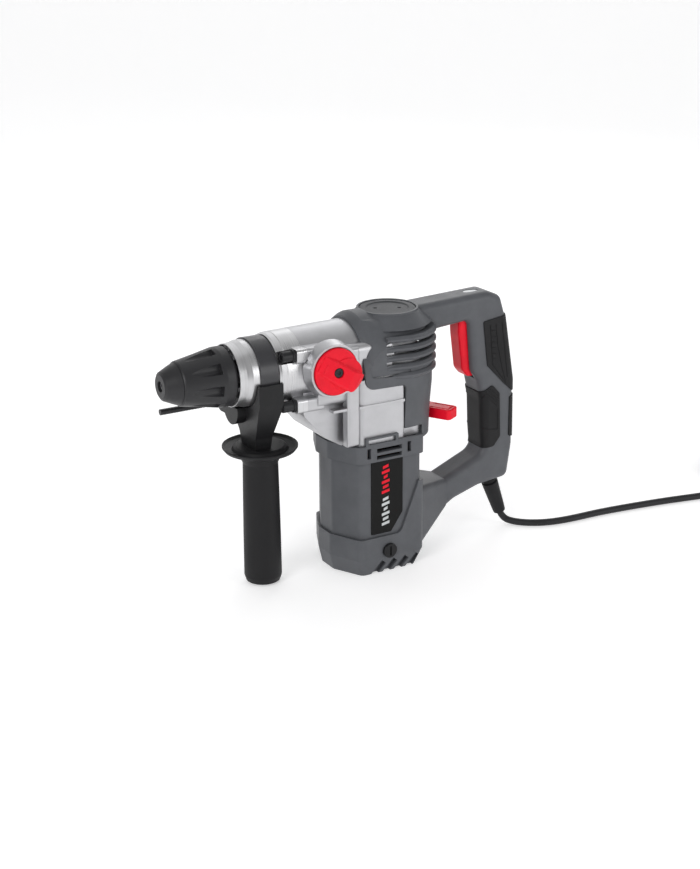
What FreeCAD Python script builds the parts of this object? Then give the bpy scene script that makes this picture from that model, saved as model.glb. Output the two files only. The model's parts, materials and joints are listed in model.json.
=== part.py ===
import FreeCAD, Part
import math
import os
import Sketcher

# Rotary hammer with a vertical motor and a D-handle, in millimetres.
# Origin: centre of the flat rest face, on the motor axis. +X points to the D-handle,
# +Z up; the nose points to -X and Y = 0 is the mid-plane of the clamshell.

Vector = FreeCAD.Vector
X_AXIS = Vector(1, 0, 0)
Y_AXIS = Vector(0, 1, 0)
Z_AXIS = Vector(0, 0, 1)
LONG = 400.0    # longer than the tool, for cutting bodies that run through it

doc = FreeCAD.newDocument("RotaryHammer")

# ---------------------------------------------------------------- driving sizes
SIZES = [
    ("axis_height", 222.0, "hammer axis above the rest face"),
    ("clearance", 0.05, "radial running clearance"),
    ("shank_radius", 5.02, "tool bore for a 10 mm shank"),
    ("nose_x", -223.5, "front face of the dust cap"),
    ("cap_rear_x", -207.7, "dust cap to sleeve seam"),
    ("cap_rear_radius", 20.4, "dust cap at the seam"),
    ("sleeve_rear_x", -155.7, "rear face of the locking sleeve"),
    ("sleeve_radius", 29.4, "locking sleeve rim"),
    ("sleeve_bore", 19.0, "inside of the locking sleeve"),
    ("holder_radius", 10.9, "tool holder, front part"),
    ("spindle_radius", 14.0, "tool holder, rear part"),
    ("holder_rear_x", -128.0, "rear end of the tool holder"),
    ("beat_bore", 7.5, "guide of the beat piece"),
    ("barrel_front_x", -154.5, "front edge of the barrel collar"),
    ("collar_radius", 32.6, "round collar of the barrel"),
    ("barrel_step_x", -114.6, "rear end of the collar"),
    ("seam_x", -87.5, "barrel to gear housing seam"),
    ("barrel_bore", 24.0, "bearing seat in the barrel"),
    ("cylinder_radius", 19.0, "outside of the hammer cylinder"),
    ("cylinder_bore", 14.0, "inside of the hammer cylinder"),
    ("cylinder_rear_x", -32.5, "rear end of the hammer cylinder"),
    ("piston_radius", 13.95, "piston and striker"),
    ("crank_x", 25.0, "crank axis"),
    ("crank_throw", 9.0, "crank pin offset"),
    ("wrist_x", -42.0, "piston pin at rest"),
    ("layshaft_x", -22.0, "bevel pinion shaft axis"),
    ("gear_module", 1.0, "spur gear module"),
    ("gear_level", 152.0, "underside of the spur gears"),
    ("gear_width", 10.0, "face width of the spur gears"),
    ("housing_radius", 48.0, "gear case and motor housing, front curve"),
    ("housing_half_width", 44.5, "gear case flat side"),
    ("case_floor", 140.0, "gear case to motor housing joint"),
    ("motor_radius", 47.2, "motor housing, front curve"),
    ("motor_half_width", 44.0, "motor housing flat side"),
    ("motor_rear_x", 40.5, "motor housing rear face"),
    ("wall", 3.0, "plastic wall"),
    ("cap_top", 40.0, "top edge of the tail part of the clamshell"),
    ("cap_grow", 2.6, "how far the tail stands proud of the motor housing"),
    ("cover_half_width", 45.5, "clamshell, upper cover"),
    ("cover_front_x", -29.0, "front edge of the upper cover"),
    ("cover_top", 261.5, "deck of the upper cover"),
    ("cover_low", 135.0, "lower edge of the rear cover"),
    ("panel_low", 197.0, "lower edge of the side panel"),
    ("panel_rear_x", 20.0, "gear case to rear cover edge"),
    ("handle_half_width", 17.0, "D-handle"),
    ("grease_cap_radius", 28.5, "grease cap"),
    ("grease_cap_top", 264.8, "top of the grease cap"),
    ("knob_x", -62.7, "mode knob axis"),
    ("knob_z", 224.7, "mode knob axis"),
    ("knob_radius", 23.4, "mode knob"),
    ("band_front_x", -134.3, "clamp band"),
    ("band_rear_x", -115.4, "clamp band"),
    ("band_radius", 34.0, "outside of the clamp band"),
    ("side_grip_x", -120.5, "side grip axis"),
    ("side_grip_foot", 1.0, "lower end of the side grip above the rest face"),
    ("guard_radius", 37.5, "hand guard"),
    ("rod_y", 30.0, "depth rod"),
    ("rod_z", 186.0, "depth rod"),
    ("rod_radius", 3.0, "depth rod"),
    ("core_radius", 23.3, "armature core"),
    ("core_low", 62.0, "armature core, underside"),
    ("core_high", 110.0, "armature core, top"),
    ("shaft_radius", 4.0, "armature shaft"),
    ("brush_z", 23.7, "carbon brush level"),
    ("lever_x", 64.0, "impact stop lever axis"),
    ("lever_z", 152.0, "impact stop lever, mid-height"),
    ("cord_radius", 3.7, "supply cord"),
    ("coil_radius", 44.0, "middle of the coil's turns"),
]


class Size:
    """A length that knows its value and the sheet expression that it comes from."""

    def __init__(self, value, text):
        self.value = float(value)
        self.text = text

    def __float__(self):
        return self.value

    def __add__(self, other):
        other = sized(other)
        return Size(self.value + other.value, f"({self.text} + {other.text})")

    def __sub__(self, other):
        other = sized(other)
        return Size(self.value - other.value, f"({self.text} - {other.text})")

    def __mul__(self, other):
        other = sized(other)
        return Size(self.value * other.value, f"({self.text} * {other.text})")

    def __radd__(self, other):
        return sized(other) + self

    def __rsub__(self, other):
        return sized(other) - self

    def __rmul__(self, other):
        return sized(other) * self

    def __neg__(self):
        return sized(0) - self


def sized(number):
    """Give a plain number the same form as a size from the sheet."""
    if isinstance(number, Size):
        return number
    return Size(number, f"{float(number):.6f}")


class Sheet:
    """The driving sizes, as attributes, each bound to its cell."""

    def __init__(self, rows):
        self.cells = doc.addObject("Spreadsheet::Sheet", "Sizes")
        for number, (alias, value, note) in enumerate(rows, start=1):
            self.cells.set(f"A{number}", alias)
            self.cells.set(f"B{number}", str(value))
            self.cells.set(f"C{number}", note)
            self.cells.setAlias(f"B{number}", alias)
            setattr(self, alias, Size(value, f"Sizes.{alias}"))
        doc.recompute()


d = Sheet(SIZES)
H = float(d.axis_height)

# ---------------------------------------------------------------- helpers
NODES = {}


def node(thing, name):
    """Name a finished sub-part and list it for export."""
    thing.Label = name
    NODES[name] = thing
    return thing


def bind(thing, prop, size):
    """Set a property from a size, through its expression."""
    thing.setExpression(prop, sized(size).text)


def place(thing, x=0, y=0, z=0, axis=Z_AXIS, angle=0):
    """Place an object; the position is bound to the sheet."""
    thing.Placement = FreeCAD.Placement(Vector(float(x), float(y), float(z)), FreeCAD.Rotation(axis, angle))
    for letter, size in zip("xyz", (x, y, z)):
        if isinstance(size, Size):
            bind(thing, f"Placement.Base.{letter}", size)
    return thing


def origin_plane(body, role):
    return [plane for plane in body.Origin.OriginFeatures if plane.Role == role][0]


def outline(body, role, points):
    """Sketch a closed outline of straight lines, every corner dimensioned from the origin."""
    sketch = body.newObject("Sketcher::SketchObject", body.Label + "_outline")
    sketch.AttachmentSupport = [(origin_plane(body, role), "")]
    sketch.MapMode = "FlatFace"
    points = [(sized(a), sized(b)) for a, b in points]
    count = len(points)
    corners = [Vector(a.value, b.value, 0) for a, b in points]
    sketch.addGeometry([Part.LineSegment(corners[i], corners[(i + 1) % count]) for i in range(count)], False)
    sketch.addConstraint([Sketcher.Constraint("Coincident", i, 2, (i + 1) % count, 1) for i in range(count)])
    for i, (a, b) in enumerate(points):
        for kind, size in (("DistanceX", a), ("DistanceY", b)):
            number = sketch.addConstraint(Sketcher.Constraint(kind, -1, 1, i, 1, size.value))
            sketch.setExpression(f"Constraints[{number}]", size.text)
    return sketch


def turned(name, points, about="x", x=0, y=0, z=0):
    """A body turned about X or Y (along, radius) or about Z (radius, height)."""
    body = doc.addObject("PartDesign::Body", name)
    role = {"x": "XZ_Plane", "y": "XY_Plane", "z": "XZ_Plane"}[about]
    turn = body.newObject("PartDesign::Revolution", name + "_turn")
    turn.Profile = outline(body, role, points)
    turn.ReferenceAxis = (turn.Profile[0], ["H_Axis" if about == "x" else "V_Axis"])
    turn.Angle = 360
    return place(body, x, y, z)


def padded(name, role, points, length, symmetric=False, x=0, y=0, z=0, axis=Z_AXIS, angle=0):
    """A body padded from an outline: XY goes up, XZ goes to -Y, YZ goes to +X."""
    body = doc.addObject("PartDesign::Body", name)
    pad = body.newObject("PartDesign::Pad", name + "_pad")
    pad.Profile = outline(body, role, points)
    if symmetric:
        pad.SideType = "Symmetric"
    bind(pad, "Length", length)
    return place(body, x, y, z, axis, angle)


def rod(name, radius, length, x=0, y=0, z=0, along="z"):
    """A Part cylinder along an axis, from the given point."""
    thing = doc.addObject("Part::Cylinder", name)
    bind(thing, "Radius", radius)
    bind(thing, "Height", length)
    turn = {"x": (Y_AXIS, 90), "y": (X_AXIS, -90), "z": (Z_AXIS, 0)}[along]
    return place(thing, x, y, z, *turn)


def block(name, low, high, axis=Z_AXIS, angle=0):
    """A Part box between two corners."""
    thing = doc.addObject("Part::Box", name)
    for prop, a, b in zip(("Length", "Width", "Height"), low, high):
        bind(thing, prop, sized(b) - a)
    return place(thing, *low, axis, angle)


def fused(name, things):
    joined = doc.addObject("Part::MultiFuse", name)
    joined.Shapes = things
    joined.Refine = True
    return joined


def cut(name, base, *tools):
    """Take one or more tools away from a base."""
    result = doc.addObject("Part::Cut", name)
    result.Base = base
    result.Tool = tools[0] if len(tools) == 1 else fused(name + "_tools", list(tools))
    result.Refine = True
    return result


def common(name, base, tool):
    result = doc.addObject("Part::Common", name)
    result.Base = base
    result.Tool = tool
    return result


def shaped(name, shape):
    """A feature whose shape comes from Part's own functions."""
    thing = doc.addObject("Part::Feature", name)
    thing.Shape = shape
    return thing


def ring(name, inner, outer, low, high, x=0, about="z"):
    """A plain ring: a bearing, bush or seal."""
    if about == "z":
        return turned(name, [(inner, low), (outer, low), (outer, high), (inner, high)], "z", x=x)
    return turned(name, [(low, inner), (low, outer), (high, outer), (high, inner)], "x", z=d.axis_height)


def rounded_edges(corners, closed=True):
    """Edges of a path of straight runs joined by tangent arcs; a corner is (point, radius)."""
    count = len(corners)
    runs = []
    arcs = {}
    for i, (point, radius) in enumerate(corners):
        if radius <= 0 or (not closed and i in (0, count - 1)):
            runs.append((point, point))
            continue
        back = (corners[i - 1][0] - point).normalize()
        ahead = (corners[(i + 1) % count][0] - point).normalize()
        half = back.getAngle(ahead) / 2
        reach = radius / math.tan(half)
        middle = (back + ahead).normalize() * (radius / math.sin(half) - radius)
        first, last = point + back * reach, point + ahead * reach
        arcs[i] = Part.Arc(first, point + middle, last).toShape()
        runs.append((first, last))
    edges = []
    for i in range(count):
        if i in arcs:
            edges.append(arcs[i])
        if not closed and i == count - 1:
            break
        start, end = runs[i][1], runs[(i + 1) % count][0]
        if start.distanceToPoint(end) > 1e-6:
            edges.append(Part.LineSegment(start, end).toShape())
    return edges


def side_face(corners, y=0.0):
    """A face in the XZ plane from (x, z, radius) corners."""
    points = [(Vector(float(x), y, float(z)), float(radius)) for x, z, radius in corners]
    return Part.Face(Part.Wire(rounded_edges(points)))


def side_plate(corners, half_width):
    """A plate in the XZ plane, symmetric about the mid-plane."""
    return side_face(corners, -float(half_width)).extrude(Vector(0, 2 * float(half_width), 0))


def motor_plan(radius, half_width, rear_x, z, corner=8.0):
    """Plan outline of the motor: a faceted front, flat sides and a square back."""
    radius, half_width, rear_x = float(radius), float(half_width), float(rear_x)
    half = [(-radius, 12, 7), (16.2 - radius, half_width, 7), (rear_x, half_width, corner)]
    corners = half + [(x, -y, size) for x, y, size in reversed(half)]
    return Part.Wire(rounded_edges([(Vector(x, y, z), size) for x, y, size in corners]))


def motor_prism(radius, half_width, rear_x, low, high, corner=8.0):
    plan = Part.Face(motor_plan(radius, half_width, rear_x, float(low), corner))
    return plan.extrude(Vector(0, 0, float(high) - float(low)))


def cylinder(radius, length, x, y, z, direction=Z_AXIS):
    return Part.makeCylinder(float(radius), float(length), Vector(float(x), float(y), float(z)), direction)


def box(low, high):
    low, high = Vector(*map(float, low)), Vector(*map(float, high))
    size = high - low
    return Part.makeBox(size.x, size.y, size.z, low)


def coil_spring(name, radius, wire, low, high, turns):
    """A compression spring about the hammer axis, from low to high along X."""
    pitch = (high - low - 2 * wire) / turns
    path = Part.Wire(Part.makeHelix(pitch, pitch * turns, radius).Edges)
    section = Part.Wire(Part.Circle(Vector(radius, 0, 0), Y_AXIS, wire).toShape())
    spring = path.makePipeShell([section], True, True)
    spring.rotate(Vector(0, 0, 0), Y_AXIS, 90)
    spring.translate(Vector(low + wire, 0, H))
    return shaped(name, spring)


# ---------------------------------------------------------------- chuck and tool holder
def make_chuck():
    axis = d.axis_height
    bore = d.shank_radius + 0.4
    node(turned("dust_cap", [
        (d.nose_x, bore), (d.nose_x, 11.5), (d.nose_x + 1.5, 14), (d.nose_x + 10.5, 18.2),
        (d.cap_rear_x, d.cap_rear_radius), (d.cap_rear_x, d.holder_radius),
        (d.nose_x + 3, d.holder_radius), (d.nose_x + 3, bore)], z=axis), "dust_cap")
    holder = turned("holder_blank", [
        (d.nose_x + 3, d.shank_radius), (d.nose_x + 3, d.holder_radius), (-160.5, d.holder_radius),
        (-160.5, 18), (-157, 18), (-157, d.spindle_radius), (d.holder_rear_x, d.spindle_radius),
        (d.holder_rear_x, d.beat_bore), (-175, d.beat_bore), (-175, d.shank_radius)], z=axis)
    ball_hole = rod("ball_hole", 3.6, 40, -203.5, 0, axis - 20)
    node(cut("holder_cut", holder, ball_hole), "tool_holder")
    balls = []
    for side in (-1, 1):
        ball = doc.addObject("Part::Sphere", "ball")
        ball.Radius = 3.5
        balls.append(place(ball, -203.5, 0, axis + 8.7 * side))
    node(fused("ball_pair", balls), "locking_balls")
    node(ring("lock_ring", 12.35, d.sleeve_bore, -207, -200, about="x"), "lock_ring")
    node(coil_spring("sleeve_spring", 14.2, 1.0, -199.9, -160.6, 7), "sleeve_spring")
    sleeve = turned("sleeve_blank", [
        (d.cap_rear_x + 0.3, d.sleeve_bore), (d.cap_rear_x + 0.3, d.cap_rear_radius + 0.3),
        (-206, 21.8), (-186, 25.4), (-166, d.sleeve_radius), (-158, d.sleeve_radius),
        (d.sleeve_rear_x, d.sleeve_radius - 1.2), (d.sleeve_rear_x, d.sleeve_radius - 3.5),
        (-158, d.sleeve_bore + 2), (-158, d.sleeve_bore)], z=axis)
    pockets = []
    for number in range(8):
        turn = math.radians(number * 45 + 12)
        y, z = 28.4 * math.cos(turn), axis + 28.4 * math.sin(turn)
        pockets.append(rod("pocket", 5.4, 36, -206, y, z, "x"))
    node(cut("sleeve_cut", sleeve, *pockets), "locking_sleeve")


# ---------------------------------------------------------------- hammer mechanism
def make_mechanism():
    axis = d.axis_height
    play = d.beat_bore - d.clearance
    node(turned("beat_piece", [
        (-170, 0), (-170, 6), (-168.5, play), (-131.5, play), (-130, 6), (-130, 0)], z=axis), "beat_piece")
    cylinder_tube = ring("cylinder", d.cylinder_bore, d.cylinder_radius, -142, d.cylinder_rear_x, about="x")
    node(cylinder_tube, "hammer_cylinder")
    groove = d.piston_radius - 2.6
    node(turned("striker", [
        (-121.9, 0), (-121.9, 6), (-121, 7), (-112, 7), (-112, d.piston_radius), (-99.5, d.piston_radius),
        (-99.5, groove), (-96.5, groove), (-96.5, d.piston_radius), (-84, d.piston_radius), (-84, 0)], z=axis),
        "striker")
    for name, x in (("striker_seal", -98), ("piston_seal", -57)):
        seal = doc.addObject("Part::Torus", name)
        bind(seal, "Radius1", d.piston_radius - 1.35)
        seal.Radius2 = 1.25
        node(place(seal, x, 0, axis, Y_AXIS, 90), name)
    piston = turned("piston_blank", [
        (-62, 0), (-62, d.piston_radius), (-58.5, d.piston_radius), (-58.5, groove), (-55.5, groove),
        (-55.5, d.piston_radius), (-34, d.piston_radius), (-34, 0)], z=axis)
    rod_slot = block("rod_slot", (-51, -7.6, axis - 5.3), (-30, 7.6, axis + 5.3))
    pin_hole = rod("pin_hole", 3.5, 40, d.wrist_x, 0, axis - 20)
    node(cut("piston_cut", piston, rod_slot, pin_hole), "piston")
    node(rod("piston_pin", 3.5, 26, d.wrist_x, 0, axis - 13), "piston_pin")
    pin_x = float(d.crank_x - d.crank_throw)
    small_end = cylinder(6.2, 10, d.wrist_x, 0, H - 5)
    big_end = cylinder(8, 10, pin_x, 0, H - 5)
    web = box((float(d.wrist_x), -3.6, H - 4), (pin_x, 3.6, H + 4))
    holes = cylinder(3.55, 12, d.wrist_x, 0, H - 6).fuse(cylinder(4.05, 12, pin_x, 0, H - 6))
    rod_solid = small_end.fuse([big_end, web]).cut(holes).removeSplitter()
    node(shaped("connecting_rod", rod_solid), "connecting_rod")
    races = [ring("race", d.cylinder_radius + d.clearance, d.barrel_bore, -136, -124, about="x"),
             ring("race", d.cylinder_radius + d.clearance, 26, -55, -47, about="x")]
    node(fused("race_pair", races), "spindle_bearings")
    node(turned("clutch_ring", [
        (-70, d.cylinder_radius + d.clearance), (-70, 23.5), (-66.9, 23.5), (-66.9, 21.3), (-62.9, 21.3),
        (-62.9, 23.5), (-59, 23.5), (-59, d.cylinder_radius + d.clearance)], z=axis), "clutch_ring")


def spur_outline(teeth, shift, steps=4):
    """Involute tooth outline of a stub gear, as points about the origin."""
    module = float(d.gear_module)
    pitch = module * teeth / 2
    base = pitch * math.cos(math.radians(20))
    root = pitch - module * (1.05 - shift)
    tip = pitch + module * (0.8 + shift)
    half = (math.pi / 2 + 2 * shift * math.tan(math.radians(20)) - 0.13) * module / (2 * pitch)
    roll = math.tan(math.radians(20)) - math.radians(20)
    flank = [(root, half + roll)] if root < base else []
    start = max(base, root)
    for step in range(steps + 1):
        radius = start + (tip - start) * step / steps
        angle = math.acos(min(1.0, base / radius))
        flank.append((radius, half + roll - (math.tan(angle) - angle)))
    points = []
    for tooth in range(teeth):
        middle = 2 * math.pi * tooth / teeth
        sides = [(radius, middle - turn) for radius, turn in flank]
        sides += [(radius, middle + turn) for radius, turn in reversed(flank)]
        points += [Vector(radius * math.cos(turn), radius * math.sin(turn), 0) for radius, turn in sides]
    return points


def spur_gear(name, teeth, shift, bore, x, low, width, turn):
    points = spur_outline(teeth, shift)
    gear = Part.Face(Part.makePolygon(points + points[:1])).extrude(Vector(0, 0, width))
    gear = gear.cut(cylinder(bore, width, 0, 0, 0))
    gear.rotate(Vector(0, 0, 0), Z_AXIS, turn)
    gear.translate(Vector(float(x), 0, low))
    return shaped(name, gear)


def bevel_teeth(teeth, radius, cone, module, face):
    """Straight bevel teeth about +Z with the apex at the origin and the pitch circle at -cone."""
    slope = math.hypot(radius, cone)
    out = Vector(cone / slope, 0, radius / slope)     # square to the pitch cone, out of the blank
    pitch_point = Vector(radius, 0, -cone)
    thick = math.pi / 4 - 0.17
    corners = [(-1.2, thick + 0.35), (0, thick), (0.8, thick - 0.32)]
    big = [pitch_point + out * (rise * module) + Vector(0, half * module, 0) for rise, half in corners]
    big += [pitch_point + out * (rise * module) - Vector(0, half * module, 0)
            for rise, half in reversed(corners)]
    small = [point * ((slope - face) / slope) for point in big]
    tooth = Part.makeLoft([Part.makePolygon(big + big[:1]), Part.makePolygon(small + small[:1])], True, True)
    result = []
    for number in range(teeth):
        copy = tooth.copy()
        copy.rotate(Vector(0, 0, 0), Z_AXIS, 360.0 * number / teeth)
        result.append(copy)
    return result


def bevel_blank(radius, cone, module, face, bore, back):
    """The cone under the teeth, with its hub behind."""
    slope = math.hypot(radius, cone)
    keep = (slope - face) / slope
    out_r, out_z = cone / slope, radius / slope
    low_r, low_z = radius - 1.0 * module * out_r, -cone - 1.0 * module * out_z
    wire = [(bore, low_z * keep), (low_r * keep, low_z * keep), (low_r, low_z), (low_r, -back), (bore, -back)]
    if bore == 0:
        wire[0] = (0, low_z * keep)
    face = Part.Face(Part.makePolygon([Vector(r, 0, z) for r, z in wire + wire[:1]]))
    return face.revolve(Vector(0, 0, 0), Z_AXIS, 360)


def make_gears():
    low, width = float(d.gear_level), float(d.gear_width)
    crank_x, lay_x = float(d.crank_x), float(d.layshaft_x)
    shaft = turned("shaft_blank", [
        (0, 5), (d.shaft_radius, 5), (d.shaft_radius, 149.5), (2.6, 149.5), (2.6, 165), (0, 165)], "z")
    pinion = spur_gear("pinion_teeth", 8, 0.4, 2.6, 0, low - 2, width + 4, 22.5)
    node(fused("shaft_and_pinion", [shaft, pinion]), "armature_shaft")
    node(spur_gear("crank_gear", 42, -0.4, 7, crank_x, low, width, 0), "crank_gear")
    node(spur_gear("layshaft_gear", 36, -0.4, 5, lay_x, low, width, 0), "layshaft_gear")
    throw = float(d.crank_throw)
    shaft = cylinder(7, 205 - 143.5, crank_x, 0, 143.5)
    disc = cylinder(14, 7.5, crank_x, 0, 205)
    crank_pin = cylinder(4, 4.2, crank_x - throw, 0, 212.5)
    node(shaped("crankshaft", shaft.fuse([disc, crank_pin]).removeSplitter()), "crankshaft")
    small_r, big_r, module, face = 7.0, 26.6, 1.4, 7.0
    pinion = bevel_blank(small_r, big_r, module, face, 0, big_r + 3).fuse(
        bevel_teeth(10, small_r, big_r, module, face))
    pinion.translate(Vector(lay_x, 0, H))
    stem = cylinder(5, H - big_r - 3 - 143.5, lay_x, 0, 143.5)
    node(shaped("bevel_pinion_shaft", pinion.fuse(stem).removeSplitter()), "bevel_pinion_shaft")
    gear = bevel_blank(big_r, small_r, module, face, float(d.cylinder_radius), small_r + 15).fuse(
        bevel_teeth(38, big_r, small_r, module, face))
    gear.rotate(Vector(0, 0, 0), Z_AXIS, 360.0 / 76)
    gear.rotate(Vector(0, 0, 0), Y_AXIS, 90)
    gear.translate(Vector(lay_x, 0, H))
    node(shaped("spindle_gear", gear.removeSplitter()), "spindle_gear")
    rows = [(7, 10, 143.4, 148, d.crank_x), (7, 15, 177, 187, d.crank_x),
            (5, 8, 143.4, 148, d.layshaft_x), (5, 11, 177, 185, d.layshaft_x),
            (d.shaft_radius, 11, 5.5, 12.5, 0), (d.shaft_radius, 11, 141, 148, 0)]
    races = [ring("race", inner + d.clearance, outer, low, high, x=x) for inner, outer, low, high, x in rows]
    node(fused("race_set", races), "shaft_bearings")


# ---------------------------------------------------------------- aluminium housings
def lug(y, z, front, rear):
    """The square end of the casting round one barrel screw."""
    inner, outer = sorted((math.copysign(20, y), math.copysign(39.5, y)))
    solid = box((front, inner, z - 7), (rear, outer, z + 7))
    return solid.makeFillet(3, [e for e in solid.Edges if abs(e.tangentAt(e.FirstParameter).x) > 0.9])


def make_barrel():
    axis = d.axis_height
    seam, knob_x, knob_z = float(d.seam_x), float(d.knob_x), float(d.knob_z)
    tube = turned("barrel_tube", [
        (d.barrel_front_x + 10, d.barrel_bore), (d.barrel_front_x + 10, 30.1), (d.barrel_front_x, 30.1),
        (d.barrel_front_x, 30.8), (d.barrel_front_x + 7.5, 31.3), (d.barrel_front_x + 13, d.collar_radius),
        (d.barrel_step_x, d.collar_radius), (d.barrel_step_x, 34.8), (d.barrel_step_x + 2.5, 35.5),
        (d.barrel_step_x + 8, 35.8), (d.barrel_step_x + 8.5, 36.2), (d.seam_x, 36.5),
        (d.seam_x, d.barrel_bore)], z=axis)
    lugs = [lug(y, H + z, seam - 11, seam) for y in (-31, 31) for z in (19, -31)]
    lugs = lugs[0].fuse(lugs[1:]).cut(cylinder(35, 40, seam - 30, 0, H, X_AXIS))
    body = fused("barrel_body", [tube, shaped("barrel_lugs", lugs)])
    holes = [cylinder(28.6, 31.5, knob_x, -67, knob_z, Y_AXIS)]
    for y in (-31, 31):
        for z in (19, -31):
            holes.append(cylinder(3, 24, seam - 14, y, H + z, X_AXIS))
            holes.append(cylinder(6.8, 30, seam - 41, y, H + z, X_AXIS))
    node(cut("barrel_cut", body, shaped("barrel_holes", holes[0].fuse(holes[1:]))), "barrel")
    screws = []
    for y in (-31, 31):
        for z in (19, -31):
            head = turned("screw", [
                (-13.2, 0), (-13.2, 5), (-12.7, 5.5), (-2.2, 5.5), (-2.2, 6.6), (0, 6.6), (0, 3), (26, 3), (26, 0)],
                x=d.seam_x - 11, y=y, z=axis + z)
            socket = rod("socket", 2.6, 5, d.seam_x - 24.3, y, axis + z, "x")
            screws.append(cut("socket_screw", head, socket))
    node(fused("barrel_screw_set", screws), "barrel_screws")


def case_prism(grow, low, high, rear_x):
    """Lower gear case: the motor's round front with flat sides."""
    return motor_prism(d.housing_radius + grow, d.housing_half_width + grow, rear_x, low, high, 4.0)


def make_gear_housing():
    seam, crank_x, floor = float(d.seam_x), float(d.crank_x), float(d.case_floor)
    knob_x, knob_z = float(d.knob_x), float(d.knob_z)
    tube = Part.makeCone(36.5, 38.2, 98, Vector(seam, 0, H), X_AXIS)
    flank = box((-77, -41, H - 36), (6, 41, H + 22))
    flank = flank.makeFillet(7, [e for e in flank.Edges if abs(e.tangentAt(e.FirstParameter).x) > 0.9])
    case = case_prism(0, floor, H - 14, float(d.panel_rear_x) - 0.4)
    belly = side_plate([(seam, H - 20, 0), (seam, H - 44, 6), (-66, 152, 10), (-46, floor, 0), (0, floor, 0),
                        (0, H - 20, 0)], 30)
    rear = cylinder(40.5, H - floor, crank_x, 0, floor)
    neck = cylinder(30, 31, crank_x, 0, H)
    boss = Part.makeCone(28.4, 26.4, 14.5, Vector(knob_x, -36, knob_z), -Y_AXIS)
    columns, ribs = [], []
    for side in (-1, 1):
        near, far = sorted((side * 36, side * 46))
        column = box((-47, near, floor + 2), (-33, far, H + 21))
        columns.append(column.makeFillet(3, [e for e in column.Edges if abs(e.CenterOfMass.y) > 45.9]))
        ribs.append(box((-62, near * 0.95, 179.6), (-46, far * 0.95, 182.4)))
        ribs.append(box((-34, near, 179.6), (18, far * 0.99, 182.4)))
    lugs = [lug(y, H + z, seam, -70) for y in (-31, 31) for z in (19, -31)]
    solid = tube.fuse([flank, case, belly, rear, neck, boss] + columns + ribs + lugs)
    gears = side_plate([(-42.5, 148, 0), (-42.5, 176, 0), (50, 176, 0), (50, 148, 0)], 25)
    hollows = [
        cylinder(30.5, 31.5, seam, 0, H, X_AXIS),
        cylinder(26, 10, seam + 31, 0, H, X_AXIS),
        cylinder(30.5, 56, -47, 0, H, X_AXIS),
        cylinder(23, 60, crank_x, 0, 187),
        cylinder(20, 20, crank_x, 0, 240),
        cylinder(15, 40, crank_x, 0, 160),
        cylinder(11, 60, d.layshaft_x, 0, 160),
        cylinder(9, 60, d.layshaft_x, 0, 185),
        gears,
        cylinder(40, 8, 0, 0, floor),
        cylinder(5.1, 30, knob_x, -51, knob_z, Y_AXIS),
        cylinder(24.1, 5, knob_x, -52, knob_z, Y_AXIS),
        box((51.5, -50, floor - 1), (90, 50, 172)),
        cylinder(31.1, 20, crank_x, 0, 252.9),
        Part.makeCone(44.15, 31.1, 12.1, Vector(crank_x, 0, 251.4), Z_AXIS),
    ]
    skin = cover_body(0).cut(cover_body(-float(d.wall) - 0.1)).cut(front_region())
    hollows += [cylinder(3, 17, seam, y, H + z, X_AXIS) for y in (-31, 31) for z in (19, -31)]
    housing = solid.cut(skin)
    for hollow in hollows:
        housing = housing.cut(hollow)
    housing = housing.removeSplitter()
    node(shaped("gear_housing", housing), "gear_housing")
    plate = cylinder(40, 8, 0, 0, floor)
    seats = [cylinder(11, 7, 0, 0, 141), cylinder(d.shaft_radius + 0.5, 9, 0, 0, floor),
             cylinder(10, 5, crank_x, 0, 143.3), cylinder(8, 5, d.layshaft_x, 0, 143.3)]
    node(shaped("bearing_plate", plate.cut(seats[0].fuse(seats[1:]))), "bearing_plate")


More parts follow.
